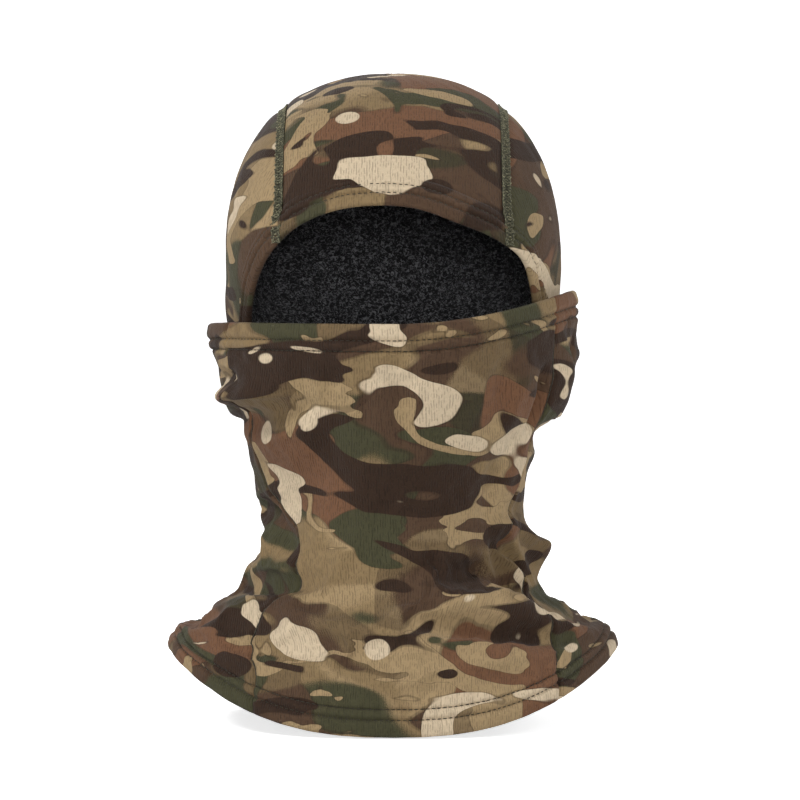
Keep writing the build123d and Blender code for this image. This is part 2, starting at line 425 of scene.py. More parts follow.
def hems_held(v):
    """0 at both hems, rising smoothly to 1 away from them."""
    t = np.clip(np.minimum(v - 0.05, 0.95 - v) / 0.12, 0, 1)
    return t * t * (3 - 2 * t)


def fold_cloth():
    """The tube with its folds laid in, settled by the simulation, on the fine grid."""
    u = (np.arange(SIM_COLUMNS) / SIM_COLUMNS)[:, None]
    v = np.linspace(0, 1, SIM_ROWS)[None, :]
    base, azimuth = tube_base(u, v)
    normals = grid_normals(base)
    held = np.clip(np.minimum(v, 1 - v) / 0.14, 0, 1)
    height = (FOLD_SCALE * folds(azimuth, base[..., 2], FOLDS) + 0.5 * waves(u, v, 5, 4, 14)) * held
    height = height + folds(azimuth, base[..., 2], BULGES) * np.minimum(1, 2 * held)
    settled = settle(base + normals * height[..., None], base - normals * 7.5)
    u = (np.arange(COLUMNS) / COLUMNS)[:, None]
    v = np.linspace(0, 1, ROWS)[None, :]
    point, normal, _ = sample(settled, u, v)
    fine, azimuth = tube_base(u, v)
    height = creases(azimuth, fine[..., 2]) * hems_held(v) + 0.16 * waves(u, v, 6, 20, 45, 12)
    return point + normal * height[..., None]


def cubic_weights(f):
    """Catmull-Rom weights of four neighbours, and of their slope."""
    f2, f3 = f * f, f * f * f
    value = (-0.5 * f + f2 - 0.5 * f3, 1 - 2.5 * f2 + 1.5 * f3, 0.5 * f + 2 * f2 - 1.5 * f3,
             -0.5 * f2 + 0.5 * f3)
    slope = (-0.5 + 2 * f - 1.5 * f2, -5 * f + 4.5 * f2, 0.5 + 4 * f - 4.5 * f2, -f + 1.5 * f2)
    return value, slope


def sample(grid, u, v):
    """Point, unit normal and unit upward direction of the cloth at (u, v)."""
    u, v = np.broadcast_arrays(u, v)
    columns, rows = grid.shape[:2]
    padded = np.concatenate([
        2 * grid[:, :1] - grid[:, 1:2], grid, 2 * grid[:, -1:] - grid[:, -2:-1]
    ], axis=1)
    gu = (u % 1.0) * columns
    gv = np.clip(v, 0, 1) * (rows - 1)
    i = np.floor(gu).astype(int)
    j = np.minimum(np.floor(gv).astype(int), rows - 2)
    wu, su = cubic_weights(gu - i)
    wv, sv = cubic_weights(gv - j)
    point = np.zeros(u.shape + (3,))
    across = np.zeros_like(point)
    upward = np.zeros_like(point)
    for a in range(4):
        for b in range(4):
            p = padded[(i + a - 1) % columns, j + b]
            point += (wu[a] * wv[b])[..., None] * p
            across += (su[a] * wv[b])[..., None] * p
            upward += (wu[a] * sv[b])[..., None] * p
    return point, unit(np.cross(across, upward)), unit(upward)


cloth_grid = fold_cloth()

# Arc length along each column of the grid, to turn a distance from an edge into v
steps = np.linalg.norm(np.diff(cloth_grid, axis=1), axis=-1)
column_lengths = np.concatenate([np.zeros((COLUMNS, 1)), np.cumsum(steps, axis=1)], axis=1)
EDGE_REACH = 40.0
EDGE_STEPS = 80
edge_distances = np.linspace(0, EDGE_REACH, EDGE_STEPS + 1)
v_knots = np.linspace(0, 1, ROWS)
v_from_hem = np.array([np.interp(edge_distances, s, v_knots) for s in column_lengths])
v_from_band = np.array([np.interp(s[-1] - edge_distances, s, v_knots) for s in column_lengths])


def v_at(u, distance, edge):
    """v of the points at a distance along the cloth from the hem (edge 0) or the band (edge 1)."""
    u, distance = np.broadcast_arrays(u, distance)
    table = v_from_band if edge else v_from_hem
    return between(table, (u % 1.0) * COLUMNS, np.clip(distance / EDGE_REACH, 0, 1) * EDGE_STEPS)


def cloth_uv(u, v):
    """Coordinates of the print and the knit, in mm, from the unfolded tube."""
    u, v = np.broadcast_arrays(u, v)
    points, azimuth = tube_base(u, v)
    a, b, _, _ = tube_section(points[..., 2])
    return azimuth * (a + b) / 2, points[..., 2] * 1.05


# ---------------------------------------------------------------- mesh helpers
def sheet(name, strips, material):
    """One mesh from several grids of points, each with its own print coordinates.
    strips: (points[rows, columns, 3], U, V), U and V in mm."""
    all_points, all_faces, all_u, all_v = [], [], [], []
    base = 0
    for points, uu, vv in strips:
        rows, columns = points.shape[:2]
        all_points.append(points.reshape(-1, 3))
        all_faces.append(grid_faces(rows, columns) + base)
        all_u.append(uu.ravel())
        all_v.append(vv.ravel())
        base += rows * columns
    coords = np.stack([np.concatenate(all_u), np.concatenate(all_v)], -1)
    return smooth_object(name, all_points, np.concatenate(all_faces).tolist(), coords, material)


def smooth_object(name, points, faces, coords, material):
    """A smooth piece; coords are the print's coordinates at each vertex, in mm."""
    mesh = new_mesh(name, np.concatenate(points), faces)
    corners = np.empty(len(mesh.loops), dtype=int)
    mesh.loops.foreach_get("vertex_index", corners)
    layer = mesh.uv_layers.new(name="cloth")
    layer.data.foreach_set("uv", (coords[corners] * MM).ravel())
    mesh.materials.append(material)
    mesh.polygons.foreach_set("use_smooth", np.ones(len(mesh.polygons), dtype=bool))
    return link(name, mesh)


def cord(name, paths, material, sides=6):
    """Thread swept along paths: (points, normals, radii), each path closed at its ends."""
    points, faces, coords = [], [], []
    base = 0
    turn = 2 * math.pi * np.arange(sides) / sides
    for path, normals, radii in paths:
        tangent = unit(np.gradient(path, axis=0))
        side = unit(np.cross(tangent, normals))
        up = np.cross(side, tangent)
        ring = np.cos(turn)[None, :, None] * up[:, None] + np.sin(turn)[None, :, None] * side[:, None]
        points.append((path[:, None] + ring * radii[:, None, None]).reshape(-1, 3))
        count = len(path)
        faces += (grid_faces(count, sides, wrap=True) + base).tolist()
        faces.append([base + k for k in range(sides)][::-1])
        faces.append([base + (count - 1) * sides + k for k in range(sides)])
        coords.append(np.stack([np.repeat(arc_length(path), sides), np.tile(turn * 0.5, count)], -1))
        base += count * sides
    return smooth_object(name, points, faces, np.concatenate(coords), material)


def thicken(obj, thickness=CLOTH_THICKNESS):
    """Gives a sheet its cloth's thickness, inwards, and applies it."""
    modifier = obj.modifiers.new("Cloth thickness", "SOLIDIFY")
    modifier.thickness = thickness * MM
    modifier.offset = -1
    modifier.use_even_offset = False
    graph = bpy.context.evaluated_depsgraph_get()
    solid = bpy.data.meshes.new_from_object(obj.evaluated_get(graph))
    obj.modifiers.clear()
    obj.data = solid
    return obj


# ---------------------------------------------------------------- materials
class Graph:
    """Wires up one procedural material."""

    def __init__(self, name):
        self.material = bpy.data.materials.new(name)
        self.material.use_nodes = True
        self.tree = self.material.node_tree
        self.shader = self.tree.nodes["Principled BSDF"]

    def node(self, kind, inputs=None, **settings):
        node = self.tree.nodes.new(kind)
        for key, value in settings.items():
            setattr(node, key, value)
        self.fill(node, inputs or {})
        return node

    def fill(self, node, inputs):
        for key, value in inputs.items():
            self.set(node.inputs[key], value)

    def surface(self, inputs):
        """Sets the shader's inputs, and returns the finished material."""
        self.fill(self.shader, inputs)
        return self.material

    def bump(self, height, strength, depth):
        return self.node("ShaderNodeBump", {
            "Height": height, "Strength": strength, "Distance": depth,
        }).outputs[0]

    def set(self, socket, value):
        if isinstance(value, bpy.types.NodeSocket):
            self.tree.links.new(value, socket)
        else:
            socket.default_value = value

    def math(self, operation, a, b=0.0, c=0.0):
        node = self.node("ShaderNodeMath", operation=operation)
        for socket, value in zip(node.inputs, (a, b, c)):
            self.set(socket, value)
        return node.outputs[0]

    def step(self, value, low, high):
        """0 below low, 1 above high, smooth between."""
        limits = {"Value": value, "From Min": low, "From Max": high}
        return self.node("ShaderNodeMapRange", limits, interpolation_type="SMOOTHSTEP").outputs["Result"]

    def mix(self, factor, a, b, blend="MIX"):
        node = self.node("ShaderNodeMix", data_type="RGBA", blend_type=blend)
        self.set(node.inputs[0], factor)
        self.set(node.inputs[6], a)
        self.set(node.inputs[7], b)
        return node.outputs[2]

    def cloth(self, scale_u=1.0, scale_v=1.0, shift=(0.0, 0.0, 0.0), turn=0.0):
        """The print coordinates, scaled from metres."""
        uv = self.node("ShaderNodeUVMap", uv_map="cloth")
        mapping = self.node("ShaderNodeMapping", {
            "Vector": uv.outputs[0], "Location": shift, "Rotation": (0, 0, turn),
            "Scale": (scale_u, scale_v, 1.0),
        })
        return mapping.outputs[0]

    def noise(self, vector, scale, detail=2.0, rough=0.5, warp=0.0):
        node = self.node("ShaderNodeTexNoise", {
            "Vector": vector, "Scale": scale, "Detail": detail, "Roughness": rough, "Distortion": warp,
        })
        return node.outputs["Fac"]


def srgb(r, g, b):
    """A colour as seen, turned into the linear value a shader takes."""
    return tuple(c / 12.92 if c <= 0.04045 else ((c + 0.055) / 1.055) ** 2.4 for c in (r, g, b)) + (1.0,)


KHAKI = srgb(0.50, 0.42, 0.30)
TAN = srgb(0.59, 0.505, 0.375)
BROWN = srgb(0.305, 0.23, 0.172)
REDDISH = srgb(0.42, 0.298, 0.215)
OLIVE = srgb(0.255, 0.248, 0.172)
DARK = srgb(0.20, 0.143, 0.105)
PALE = srgb(0.76, 0.69, 0.585)

KNIT_RIB = 1.35 * MM         # from one rib of the knit to the next
RIB_BREAKS = (620.0, 290.0)  # breaks in the ribs, per metre across and along them


def knit_dimples(g):
    """1 in the short upright dashes between the ribs of the knit, and 0 elsewhere."""
    uv = g.node("ShaderNodeUVMap", uv_map="cloth")
    wobble = g.noise(uv.outputs[0], 90.0, 3.0)
    parts = g.node("ShaderNodeSeparateXYZ", {"Vector": uv.outputs[0]})
    drift = g.math("MULTIPLY", g.math("SUBTRACT", wobble, 0.5), 0.0022)
    across = g.math("ADD", parts.outputs[0], drift)
    ribs = g.math("COSINE", g.math("MULTIPLY", across, 2 * math.pi / KNIT_RIB))
    breaks = g.noise(g.cloth(*RIB_BREAKS), 1.0, 1.0)
    return g.math("MULTIPLY", g.step(ribs, 0.0, 0.8), g.step(breaks, 0.42, 0.58))


def camouflage(name):
    """A generic woodland print: sprayed khaki, brown and olive under crisp rounded shapes."""
    g = Graph(name)
    warp = g.noise(g.cloth(40.0, 40.0, (3.1, 1.7, 0.0)), 1.0, 2.0)
    grain = g.noise(g.cloth(), 2400.0, 1.0)

    def field(shift, scale_u, scale_v, turn=0.0, detail=1.2, distort=0.8):
        return g.noise(g.cloth(scale_u, scale_v, shift, turn), 1.0, detail, 0.45, distort)

    def spray(value, level, soft):
        """A soft edge broken up by the grain of a sprayed print."""
        noisy = g.math("ADD", g.step(value, level - soft, level + soft),
                       g.math("MULTIPLY", g.math("SUBTRACT", grain, 0.5), 0.9))
        return g.step(noisy, 0.2, 0.8)

    def crisp(under, tint, value, level, share=1.0):
        """A crisp shape with the thin dark line that a screen print leaves round it."""
        inside = g.math("MULTIPLY", g.step(value, level - 0.004, level + 0.004), share)
        edge = g.math("MULTIPLY", g.step(value, level - 0.013, level - 0.006), 0.4)
        return g.mix(inside, g.mix(edge, under, DARK), tint)

    def pebbles(under, tint, shift, scale_u, scale_v, size, share):
        """Scattered ovals: some of the cells of a jittered grid."""
        cells = g.node("ShaderNodeTexVoronoi", {
            "Vector": g.cloth(scale_u, scale_v, shift, 0.25), "Scale": 1.0, "Randomness": 0.8,
        })
        pick = g.node("ShaderNodeSeparateColor", {"Color": cells.outputs["Color"]})
        chosen = g.math("GREATER_THAN", pick.outputs[0], 1 - share)
        near = g.math("ADD", cells.outputs["Distance"], g.math("MULTIPLY", warp, 0.10))
        oval = g.math("SUBTRACT", 1.0, g.step(near, size, size + 0.02))
        return g.mix(g.math("MULTIPLY", oval, chosen), under, tint)

    colour = g.mix(spray(field((11.0, 4.0, 0.0), 11.0, 17.0), 0.54, 0.08), KHAKI, TAN)
    colour = g.mix(spray(field((2.0, 9.0, 0.0), 12.0, 18.0), 0.55, 0.05), colour, OLIVE)
    fading = g.math("SUBTRACT", 1.0, spray(field((8.0, 6.0, 1.0), 13.0, 20.0), 0.53, 0.07))
    colour = crisp(colour, BROWN, field((5.0, 1.0, 0.0), 9.0, 15.0, 0.3, 1.6, 0.9), 0.475, fading)
    colour = crisp(colour, REDDISH, field((7.5, 3.0, 0.0), 12.0, 17.0, -0.4), 0.595)
    colour = crisp(colour, OLIVE, field((1.0, 7.0, 2.0), 15.0, 22.0, 0.2, 1.6), 0.61)
    colour = crisp(colour, TAN, field((9.0, 2.0, 0.0), 15.0, 30.0, 0.5, 1.8, 1.4), 0.615)
    colour = crisp(colour, DARK, field((4.0, 8.0, 0.0), 14.0, 32.0, 0.15, 1.0, 1.2), 0.575)
    colour = crisp(colour, PALE, field((6.0, 5.0, 3.0), 14.0, 27.0, 0.25, 1.5, 0.9), 0.62)
    colour = pebbles(colour, DARK, (0.3, 0.8, 0.0), 24.0, 42.0, 0.36, 0.28)
    colour = pebbles(colour, PALE, (5.3, 2.1, 0.0), 27.0, 38.0, 0.24, 0.36)

    dimples = knit_dimples(g)
    fuzz = g.noise(g.cloth(), 900.0, 3.0, 0.7)
    # Random fuzzy tone, times painted shade that darkens the knit's dashes between the ribs to 0.8 of the
    # colour (1.06 elsewhere)
    fuzz_tone_and_painted_shade = g.math("MULTIPLY_ADD", fuzz, 0.40, 0.80)
    fuzz_tone_and_painted_shade = g.math("MULTIPLY", fuzz_tone_and_painted_shade, g.math("MULTIPLY_ADD", dimples, -0.26, 1.06))
    grey = g.node("ShaderNodeCombineColor", {"Red": fuzz_tone_and_painted_shade, "Green": fuzz_tone_and_painted_shade, "Blue": fuzz_tone_and_painted_shade})
    colour = g.mix(1.0, colour, grey.outputs[0], "MULTIPLY")
    height = g.math("MULTIPLY_ADD", dimples, -1.0, g.math("MULTIPLY", fuzz, 0.55))
    return g.surface({
        "Base Color": colour, "Roughness": 0.82, "Specular IOR Level": 0.16, "Sheen Weight": 0.05,
        "Sheen Roughness": 0.5, "Normal": g.bump(height, 0.8, 0.45 * MM),
    })


def fleece_material():
    """Black curly pile: near-black hollows between clumps as painted shade, with painted grey highlights
    on the loops.
    """
    g = Graph("fleece")
    curls = g.noise(g.cloth(), 520.0, 3.0, 0.6, 1.6)
    clumps = g.noise(g.cloth(), 170.0, 2.0, 0.5, 1.2)
    height = g.math("MULTIPLY_ADD", clumps, 0.6, curls)
    # Painted highlight: the tops of the curls, which the bump also raises, are coloured light grey over a
    # near-black ground
    lit = g.step(curls, 0.46, 0.66)
    colour = g.mix(lit, srgb(0.115, 0.115, 0.12), srgb(0.52, 0.52, 0.53))
    return g.surface({
        "Base Color": colour, "Roughness": 0.95, "Specular IOR Level": 0.2, "Sheen Weight": 0.25,
        "Sheen Tint": srgb(0.55, 0.55, 0.56), "Normal": g.bump(height, 1.0, 1.4 * MM),
    })


PLY_PITCH = 0.9 * MM         # one twist of a thread's plies


def thread_material(name, dark, light, mottle=0.0):
    """Twisted thread: slanting plies along the cord, with painted shade darkening the grooves between
    them and darker stretches where it is mottled.
    """
    g = Graph(name)
    uv = g.node("ShaderNodeUVMap", uv_map="cloth")
    parts = g.node("ShaderNodeSeparateXYZ", {"Vector": uv.outputs[0]})
    slant = g.math("MULTIPLY_ADD", parts.outputs[0], 2 * math.pi / PLY_PITCH,
                   g.math("MULTIPLY", parts.outputs[1], 2 / MM))
    ply = g.math("MULTIPLY_ADD", g.math("SINE", slant), 0.5, 0.5)
    fuzz = g.step(g.noise(uv.outputs[0], 900.0, 2.0), 0.35, 0.65)
    # Painted shade: 0.4 of the colour follows the plies' twist, darker in each groove and lighter on each
    # crest, and the rest is random fuzz
    colour = g.mix(g.math("MULTIPLY_ADD", ply, 0.4, g.math("MULTIPLY", fuzz, 0.6)), dark, light)
    patches = g.step(g.noise(uv.outputs[0], 480.0, 2.0), 0.40, 0.54)
    colour = g.mix(g.math("MULTIPLY", patches, mottle), colour, dark)
    return g.surface({"Base Color": colour, "Roughness": 0.6, "Normal": g.bump(ply, 0.7, 0.15 * MM)})


CAMO = camouflage("camouflage_knit")
FLEECE = fleece_material()
THREAD = thread_material("sewing_thread", srgb(0.13, 0.115, 0.08), srgb(0.27, 0.24, 0.17))
FLATLOCK = thread_material("flatlock_thread", srgb(0.15, 0.15, 0.085), srgb(0.70, 0.68, 0.53), 0.9)
FLATLOCK_BED = thread_material("flatlock_bed", srgb(0.12, 0.12, 0.07), srgb(0.24, 0.235, 0.145))


# ---------------------------------------------------------------- the tube's pieces
SETBACK = 1.0                # the cloth's middle sits this far inside the CAD surface at a hem
PRINT_SHIFT = {"front": (0.0, 0.0), "right": (1120.0, 300.0), "left": (1830.0, 90.0)}
SPANS = {
    "right": (0.0, RIGHT_SEAM_U),
    "front": (RIGHT_SEAM_U, LEFT_SEAM_U),
    "left": (LEFT_SEAM_U, 1.0),
}
GIRTH = {"right": 225.0, "front": 176.0, "left": 225.0}


def bump_line(distance, centre, width):
    return np.exp(-(((distance - centre) / width) ** 2))


def hem_height(distance, rows, roll, past, heights, puffs, sunk):
    """How far a turned hem stands off the cloth, by distance from its folded edge."""
    first, second = rows
    body = np.interp(distance, (0, roll, first, second, second + past[0], second + past[1]),
                     (roll, roll) + heights)
    outer = np.clip((distance - roll) / (first - roll), 0, 1)
    inner = np.clip((distance - first) / (second - first), 0, 1)
    puff = puffs[0] * np.sin(math.pi * outer) ** 2 + puffs[1] * np.sin(math.pi * inner) ** 2
    grooves = sunk[0] * bump_line(distance, first, STITCH_SUNK)
    grooves += sunk[1] * bump_line(distance, second, STITCH_SUNK)
    return body + puff - grooves


def turned_edge(outer, hem):
    """Section of a turned edge, from its inner flap round the fold to its outer flap.
    Returns columns of the distance from the fold, the reach past it, the height off the cloth, and
    how far outside each point is, from 0 on the inner flap to 1 on the outer one."""
    roll = hem["roll"]
    turn = np.radians(np.linspace(-90, 90, 11))
    inner = np.linspace(hem["rows"][1] + INNER_FLAP, roll, 10)[:-1]
    parts = (
        (inner, np.full(len(turn), roll), outer),
        (0 * inner, roll * np.cos(turn), 0 * outer),
        (np.full(len(inner), -roll), roll * np.sin(turn), hem_height(outer, **hem)),
        (0 * inner, 0.5 + 0.5 * np.sin(turn), 1 + 0 * outer),
    )
    return [np.concatenate(part)[:, None] for part in parts]


def seam_height(distance):
    """A sewn butt seam: the two edges dive in, with a small welt either side."""
    return -1.0 * np.exp(-((distance / 1.0) ** 2)) + 0.35 * bump_line(distance, 3.0, 1.7)


def columns_between(side, spacing):
    """Columns of a panel, closer together at its seams, and their distance in mm to the nearer one."""
    (u0, u1), girth = SPANS[side], GIRTH[side]
    fine = np.array([0, 0.5, 1.0, 1.6, 2.4, 3.4])
    middle = np.linspace(4.8, girth - 4.8, int(girth / spacing))
    mm = np.concatenate([fine, middle, girth - fine[::-1]])
    return (u0 + (u1 - u0) * mm / girth)[None, :], np.minimum(mm, girth - mm)[None, :]


def pucker(u, seed):
    """Small gathers that sewing draws up across a hem."""
    return 0.28 * waves(u, 0 * u, seed, 60, 95, 12) + 0.3 * waves(u, 0 * u, seed + 1, 14, 30, 8)


PUCKER_SEEDS = (21, 31)      # of the collar's hem and the mask's band


def tube_gather(u, distance, edge):
    """Gathers of a tube hem, strongest at its second stitch row."""
    near_row = bump_line(distance, TUBE_ROWS[1], HEM_WIDTH_AT_PANEL)
    return pucker(u, PUCKER_SEEDS[edge]) * (0.35 + 0.65 * near_row)


def tube_panel(name, side):
    """The camouflage cloth of one panel, from the band's lower stitch row to the hem's upper one."""
    u, from_seam = columns_between(side, PANEL_SPACING)
    near = TUBE_ROWS[1] + np.array([0, 0.6, 1.2, 2.0, 3.0, 4.2, 5.6])
    low = np.broadcast_to(v_at(u, near[:, None], 0), (len(near), u.shape[1]))
    high = np.broadcast_to(v_at(u, near[:, None], 1), (len(near), u.shape[1]))
    t = np.linspace(0, 1, 112)[1:-1, None]
    middle = low[-1:] * (1 - t) + high[-1:] * t
    v = np.concatenate([low, middle, high[::-1]])
    point, normal, _ = sample(cloth_grid, u, v)
    column = np.linalg.norm(np.diff(point, axis=0), axis=-1)
    down = np.concatenate([np.zeros((1, u.shape[1])), np.cumsum(column, axis=0)]) + TUBE_ROWS[1]
    from_hem = down
    from_band = down[-1:] - down + TUBE_ROWS[1]
    height = hem_height(from_hem, **TUBE_HEM) + hem_height(from_band, **TUBE_HEM)
    for seed, distance in zip(PUCKER_SEEDS, (from_hem, from_band)):
        height += pucker(u, seed) * bump_line(distance, TUBE_ROWS[1], HEM_WIDTH_AT_PANEL)
    height += seam_height(from_seam) + 0.22 * waves(u, v, 77, 30, 60, 10)
    point = point + normal * (height - SETBACK)[..., None]
    uu, vv = cloth_uv(u, v)
    shift = PRINT_SHIFT[side]
    return thicken(sheet(name, [(point, uu + shift[0], vv + shift[1])], CAMO))


def tube_hem(name, edge):
    """A turned and stitched edge all round: inner flap, fold and outer flap."""
    first, second = TUBE_ROWS
    outer = np.concatenate([
        np.linspace(TUBE_ROLL, first - 1, 9)[1:], first + np.linspace(-0.7, 0.7, 5),
        np.linspace(first + 1.2, second - 1.2, 6), second + np.linspace(-0.8, 0, 3),
    ])
    distance, beyond, lift, outside = turned_edge(outer, TUBE_HEM)
    strips = []
    for side in SPANS:
        u, from_seam = columns_between(side, PANEL_SPACING)
        v = v_at(u, distance, edge)
        point, normal, upward = sample(cloth_grid, u, v)
        away = upward if edge else -upward
        gather = tube_gather(u, distance, edge) * outside
        height = lift + gather + seam_height(from_seam) * outside - SETBACK
        point = point + normal * height[..., None] + away * beyond[..., None]
        uu, vv = cloth_uv(u, v)
        sign = 1 if edge else -1
        behind = 2 * TUBE_ROLL + (distance - TUBE_ROLL) * 2
        vv = vv + sign * np.where(outside < 0.5, behind, beyond)
        shift = PRINT_SHIFT[side]
        strips.append((point, uu + shift[0], vv + shift[1]))
    if edge:
        strips = [(p[::-1], a[::-1], b[::-1]) for p, a, b in strips]
    return thicken(sheet(name, strips, CAMO))


PILE_RELIEF = 0.5            # most that a clump of pile stands up
DENT_CLEARANCE = 1.3         # the lining gives way by this share of a dent's depth


def fleece_relief(u, v):
    """Clumps of curly pile, in mm."""
    return 0.30 * waves(u, v, 91, 45, 80, 16, 3.0) + 0.25 * waves(u, v, 92, 90, 140, 16, 3.0)


def soften(grid, passes=10):
    """The grid blurred along both directions."""
    for _ in range(passes):
        grid = 0.5 * grid + 0.25 * (np.roll(grid, 1, 0) + np.roll(grid, -1, 0))
        inner = 0.5 * grid[:, 1:-1] + 0.25 * (grid[:, :-2] + grid[:, 2:])
        grid = np.concatenate([grid[:, :1], inner, grid[:, -1:]], axis=1)
    return grid


soft_grid = soften(cloth_grid)


def lining_at(u, v):
    """Softened cloth, its normal, and the depth of the fleece's back, more where there is a dent."""
    point, normal, _ = sample(soft_grid, u, v)
    face, _, _ = sample(cloth_grid, u, v)
    dented = np.clip(np.sum((point - face) * normal, -1), 0, None)
    return point, normal, LINING_DEPTH + SETBACK + DENT_CLEARANCE * dented


def tube_lining(name, side):
    """The fleece behind one panel."""
    u, from_seam = columns_between(side, LINING_SPACING)
    under_hem = np.array([[TUBE_ROWS[1] - 2.0]])
    low = v_at(u, under_hem, 0)
    high = v_at(u, under_hem, 1)
    t = np.linspace(0, 1, 110)[:, None]
    v = low * (1 - t) + high * t
    point, normal, depth = lining_at(u, v)
    relief = fleece_relief(u, v) * np.clip(from_seam / 4, 0.2, 1)
    behind = point - normal * depth[..., None]
    pile = point - normal * (depth + LINING_PILE + relief)[..., None]
    uu, vv = cloth_uv(u, v)
    around_sheet = np.concatenate([behind, pile[:, ::-1], behind[:, :1]], axis=1)
    all_u = np.concatenate([uu, uu[:, ::-1], uu[:, :1]], axis=1)
    all_v = np.concatenate([vv, vv[:, ::-1], vv[:, :1]], axis=1)
    return sheet(name, [(around_sheet, all_u, all_v)], FLEECE)


THREAD_PROUD = 0.18          # middle of a stitch above the bottom of its groove
SEAM_CLEAR = 1.2             # stitch rows stop this far from a seam


def stitch_row(surface, start, end, pitch=3.0, gap=0.7, radius=0.27):
    """Lockstitches from start to end in mm along a path; surface gives point and normal there."""
    count = max(1, int((end - start) / pitch))
    profile = np.array([0.35, 0.95, 1.0, 0.95, 0.35]) * radius
    sag = np.array([-0.35, -0.05, 0.05, -0.05, -0.35])
    t = np.linspace(0, 1, 5)
    begin = start + (end - start) * np.arange(count) / count
    length = (end - start) / count - gap
    at = begin[:, None] + t[None, :] * length
    point, normal = surface(at)
    point = point + normal * sag[None, :, None]
    return [(point[k], normal[k], profile) for k in range(count)]


def tube_stitching(name, edge):
    """Both rows of stitches of one tube hem, all the way round."""
    paths = []
    for u0, u1 in SPANS.values():
        for row in TUBE_ROWS:
            u_line = np.linspace(u0, u1, 200)
            line, _, _ = sample(cloth_grid, u_line, v_at(u_line, row, edge))
            arc = arc_length(line)

            def surface(at, row=row, arc=arc, u_line=u_line):
                u = np.interp(at, arc, u_line)
                point, normal, _ = sample(cloth_grid, u, v_at(u, row, edge))
                from_seam = np.minimum(u - u_line[0], u_line[-1] - u) / (u_line[-1] - u_line[0]) * arc[-1]
                height = hem_height(row, **TUBE_HEM) + seam_height(from_seam)
                height = height + tube_gather(u, row, edge)
                return point + normal * (height - SETBACK + THREAD_PROUD)[..., None], normal

            paths += stitch_row(surface, SEAM_CLEAR, arc[-1] - SEAM_CLEAR)
    return cord(name, paths, THREAD)


def tube_seam(name, u_seam, v0, v1):
    """Thread down the bottom of one side seam's groove."""
    v = np.linspace(v0, v1, 260)
    u = np.full_like(v, u_seam)
    point, normal, _ = sample(cloth_grid, u, v)
    point = point + normal * (-1.0 - SETBACK + 0.32)
    radius = 0.34 + 0.10 * np.sin(np.arange(len(v)) * 1.9)
    return cord(name, [(point, normal, radius)], THREAD)


# ---------------------------------------------------------------- the hood's surface
def dome_radius(x):
    """Radius of the dome about the ear line, at a distance x along it."""
    return HOOD_RADIUS * np.clip(
        1 - np.abs(x / HOOD_HALF_WIDTH) ** HOOD_EXPONENT, 0, 1) ** (1 / HOOD_EXPONENT)


def hood_depth(x, z):
    """Half depth of the hood at x and z, and the Y of its middle there."""
    a, b, centre, exponent = hood_section(z)
    below = b * np.clip(1 - np.abs(x / a) ** exponent, 0, 1) ** (1 / exponent)
    above = np.sqrt(np.clip(dome_radius(x) ** 2 - (z - EAR_Z) ** 2, 0, None))
    return np.where(z > EAR_Z, above, below), np.where(z > EAR_Z, 0.0, centre)


def hood_point(azimuth, z):
    """Point on the hood in an azimuth at a height: a section below the ear line, the dome above."""
    s, c = np.sin(azimuth), np.cos(azimuth)
    low, high = np.zeros_like(z), np.full_like(z, 1.2 * HOOD_RADIUS)
    for _ in range(34):
        r = 0.5 * (low + high)
        x, y = r * s, r * c
        inside = (np.abs(x) < HOOD_HALF_WIDTH) & (dome_radius(x) ** 2 > y * y + (z - EAR_Z) ** 2)
        low, high = np.where(inside, r, low), np.where(inside, high, r)
    a, b, centre, exponent = hood_section(np.minimum(z, EAR_Z))
    x_low, y_low = around(azimuth, a, b, centre, exponent)
    above = z > EAR_Z
    return np.stack([np.where(above, low * s, x_low), np.where(above, -low * c, y_low), z], -1)


def opening_reach(angle, margin):
    """Distance from the middle of the face opening to its outline grown by margin; angle 0 is up."""
    s, c = np.sin(angle), np.cos(angle)
    half = np.where(c > 0, OPENING_RISE, OPENING_DROP) + margin
    degrees = np.degrees((angle + math.pi) % (2 * math.pi) - math.pi)
    droop = sum(depth * np.exp(-(((degrees - at) / width) ** 2)) for at, width, depth in OPENING_DROOP)
    return reach(s, c, OPENING_HALF_WIDTH + margin, half, OPENING_EXPONENT) - droop


def opening_point(angle, margin):
    """Point on the front of the hood, on the opening's outline grown by margin."""
    r = opening_reach(angle, margin)
    x, z = r * np.sin(angle), OPENING_Z + r * np.cos(angle)
    depth, middle = hood_depth(x, z)
    return np.stack([x, middle - depth, z], -1)


# Behind the mask the hood's cloth is pressed inwards wherever a fold of the lining comes near it
PRESS_COLUMNS = 240
PRESS_Z = np.linspace(112.0, 216.0, 53)
PRESS_GAP = 0.8              # left between the hood's cloth and the pile of the lining
HEM_STANDOFF = 3.4           # how far the opening's hem stands off the hood


